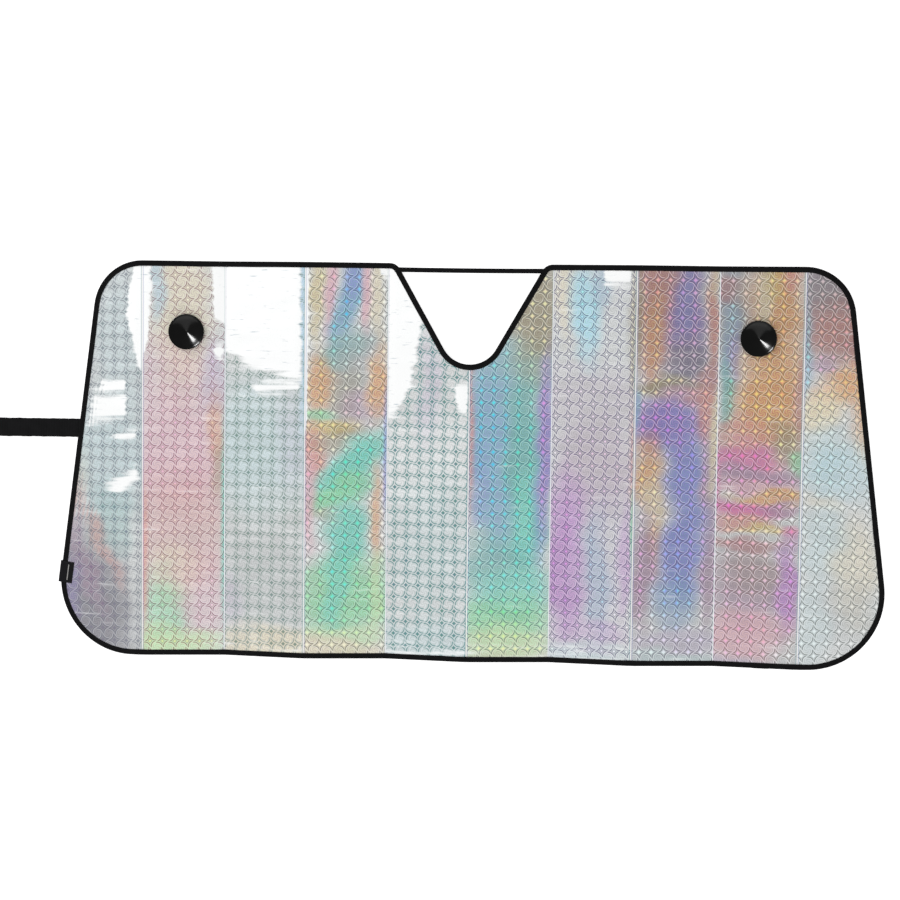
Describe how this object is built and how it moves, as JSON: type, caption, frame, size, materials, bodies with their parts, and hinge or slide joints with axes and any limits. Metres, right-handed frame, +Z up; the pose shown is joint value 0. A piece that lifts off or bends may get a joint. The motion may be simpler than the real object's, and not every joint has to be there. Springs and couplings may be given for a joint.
{
  "type": "windscreen sunshade",
  "caption": "Folding windscreen sunshade of iridescent silver film with a black bound edge, mirror notch, suction cups and an elastic closing loop.",
  "frame": {"origin": "on the floor under the middle of the shade with its elastic laid out, the film side up", "axes": "+X along the shade's length, away from the closing elastic; +Y towards the edge with the mirror notch; +Z up, out of the film side"},
  "size_m": [1.4286, 0.63, 0.0277],
  "materials": {
    "iridescent_film": "metallised film embossed with a repeating swirl that diffracts light, laminated to a thin foam core, plain silver behind",
    "binding_tape": "black woven polyester binding tape, sewn through",
    "ribbed_elastic": "black woven elastic with ribs across it",
    "woven_label": "black woven satin label, bare of text",
    "cup_vinyl": "glossy black soft vinyl"
  },
  "bodies": {
    "root": {"shade_panel": "iridescent_film", "edge_binding": "binding_tape", "notch_strap": "binding_tape", "storage_elastic": "ribbed_elastic", "edge_label": "woven_label", "suction_cup_left": "cup_vinyl", "suction_cup_right": "cup_vinyl"}
  },
  "joints": []
}
